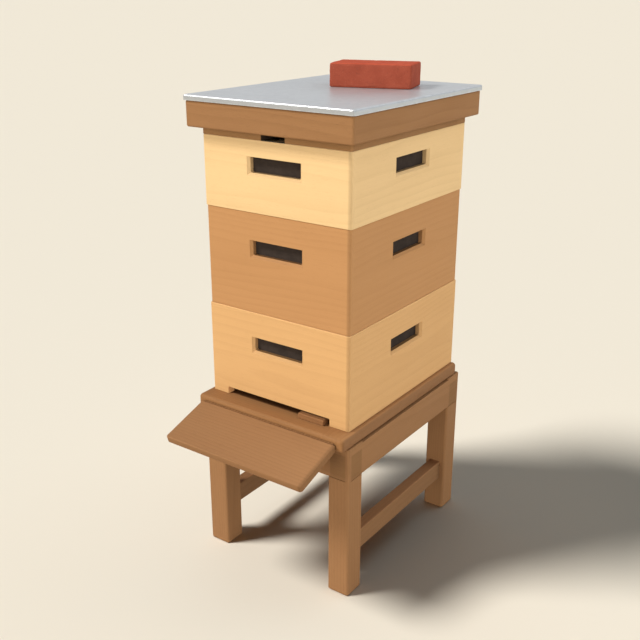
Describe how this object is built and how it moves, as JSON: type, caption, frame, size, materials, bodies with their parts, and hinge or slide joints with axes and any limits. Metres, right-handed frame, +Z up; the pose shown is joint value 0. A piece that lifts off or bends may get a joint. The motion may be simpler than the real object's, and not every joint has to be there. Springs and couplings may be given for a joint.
{
  "type": "wooden hive",
  "caption": "Stacked wooden hive on a legged stand, with hanging frames in each box, hinged landing board, inner cover, metal-capped roof and a loose brick on top.",
  "frame": {"origin": "on the ground, under the middle of the whole object's outline", "axes": "+Z up; -Y towards the entrance and the landing board; +X to the right when facing the back of the hive from the entrance side"},
  "size_m": [0.468, 0.7314, 1.242],
  "materials": {
    "stand_wood": "oiled brown timber, satin",
    "peg_wood": "darker hardwood pegs",
    "floor_wood": "oiled brown timber, satin",
    "landing_wood": "oiled brown timber, satin",
    "reducer_wood": "oiled brown timber, satin",
    "brood_wood": "honey-coloured stain, satin",
    "middle_wood": "brown stain, satin",
    "top_wood": "pale yellow stain, satin",
    "cover_wood": "dark brown stain, satin",
    "roof_wood": "brown stain, satin",
    "handhold_dark": "nearly black paint, matt",
    "frame_wood": "bare pale pine",
    "comb_wax": "golden wax, dull sheen",
    "roof_metal": "dull galvanised grey",
    "hinge_steel": "dark aged steel",
    "screw_steel": "plain steel",
    "brick": "fired red clay, matt"
  },
  "bodies": {
    "stand": {"leg_front_left": "stand_wood", "leg_front_right": "stand_wood", "leg_rear_left": "stand_wood", "leg_rear_right": "stand_wood", "apron_front": "stand_wood", "apron_rear": "stand_wood", "apron_left": "stand_wood", "apron_right": "stand_wood", "stretcher_left": "stand_wood", "stretcher_right": "stand_wood", "stretcher_pegs": "peg_wood", "floor_rail_left": "floor_wood", "floor_rail_right": "floor_wood", "floor_rail_front": "floor_wood", "floor_rail_rear": "floor_wood", "floor_panel": "floor_wood", "landing_brackets": "floor_wood", "floor_screws": "screw_steel", "landing_screws_fixed": "screw_steel", "hinge_leaf_fixed": "hinge_steel", "hinge_pin": "hinge_steel"},
    "landing_flap": {"landing_board": "landing_wood", "hinge_leaf_moving": "hinge_steel", "hinge_screws_moving": "screw_steel"},
    "reducer": {"entrance_reducer": "reducer_wood"},
    "brood_box": {"brood_front_wall": "brood_wood", "brood_rear_wall": "brood_wood", "brood_left_wall": "brood_wood", "brood_right_wall": "brood_wood", "brood_handhold_plugs": "handhold_dark"},
    "brood_frames": {"brood_frame_sticks": "frame_wood", "brood_combs": "comb_wax"},
    "middle_box": {"middle_front_wall": "middle_wood", "middle_rear_wall": "middle_wood", "middle_left_wall": "middle_wood", "middle_right_wall": "middle_wood", "middle_handhold_plugs": "handhold_dark"},
    "middle_frames": {"middle_frame_sticks": "frame_wood", "middle_combs": "comb_wax"},
    "top_box": {"top_front_wall": "top_wood", "top_rear_wall": "top_wood", "top_left_wall": "top_wood", "top_right_wall": "top_wood", "top_handhold_plugs": "handhold_dark"},
    "top_frames": {"top_frame_sticks": "frame_wood", "top_combs": "comb_wax"},
    "inner_cover": {"inner_cover_rim_front": "cover_wood", "inner_cover_rim_rear": "cover_wood", "inner_cover_side_rims": "cover_wood", "inner_cover_panel": "cover_wood"},
    "roof": {"roof_skirt_front": "roof_wood", "roof_skirt_rear": "roof_wood", "roof_skirt_left": "roof_wood", "roof_skirt_right": "roof_wood", "roof_rest_battens": "roof_wood", "roof_board": "roof_wood", "roof_metal_cap": "roof_metal", "roof_screws": "screw_steel"},
    "brick_weight": {"roof_brick": "brick"}
  },
  "joints": [
    {"name": "landing_hinge", "type": "hinge", "parent": "stand", "child": "landing_flap", "pos_m": [0, -0.22785, 0.43], "axis": [-1, 0, 0], "range_deg": [0, 105]},
    {"name": "reducer_slide", "type": "slide", "parent": "stand", "child": "reducer", "axis": [0, -1, 0], "range_m": [0, 0.034]},
    {"name": "brood_lift", "type": "slide", "parent": "stand", "child": "brood_box", "axis": [0, 0, 1], "range_m": [0, 0.12]},
    {"name": "brood_frames_lift", "type": "slide", "parent": "brood_box", "child": "brood_frames", "axis": [0, 0, 1], "range_m": [0, 0.24]},
    {"name": "middle_lift", "type": "slide", "parent": "brood_frames", "child": "middle_box", "axis": [0, 0, 1], "range_m": [0, 0.12]},
    {"name": "middle_frames_lift", "type": "slide", "parent": "middle_box", "child": "middle_frames", "axis": [0, 0, 1], "range_m": [0, 0.245]},
    {"name": "top_lift", "type": "slide", "parent": "middle_frames", "child": "top_box", "axis": [0, 0, 1], "range_m": [0, 0.12]},
    {"name": "top_frames_lift", "type": "slide", "parent": "top_box", "child": "top_frames", "axis": [0, 0, 1], "range_m": [0, 0.17]},
    {"name": "cover_lift", "type": "slide", "parent": "top_frames", "child": "inner_cover", "axis": [0, 0, 1], "range_m": [0, 0.06]},
    {"name": "roof_lift", "type": "slide", "parent": "inner_cover", "child": "roof", "axis": [0, 0, 1], "range_m": [0, 0.15]},
    {"name": "brick_lift", "type": "slide", "parent": "roof", "child": "brick_weight", "axis": [0, 0, 1], "range_m": [0, 0.1]}
  ]
}
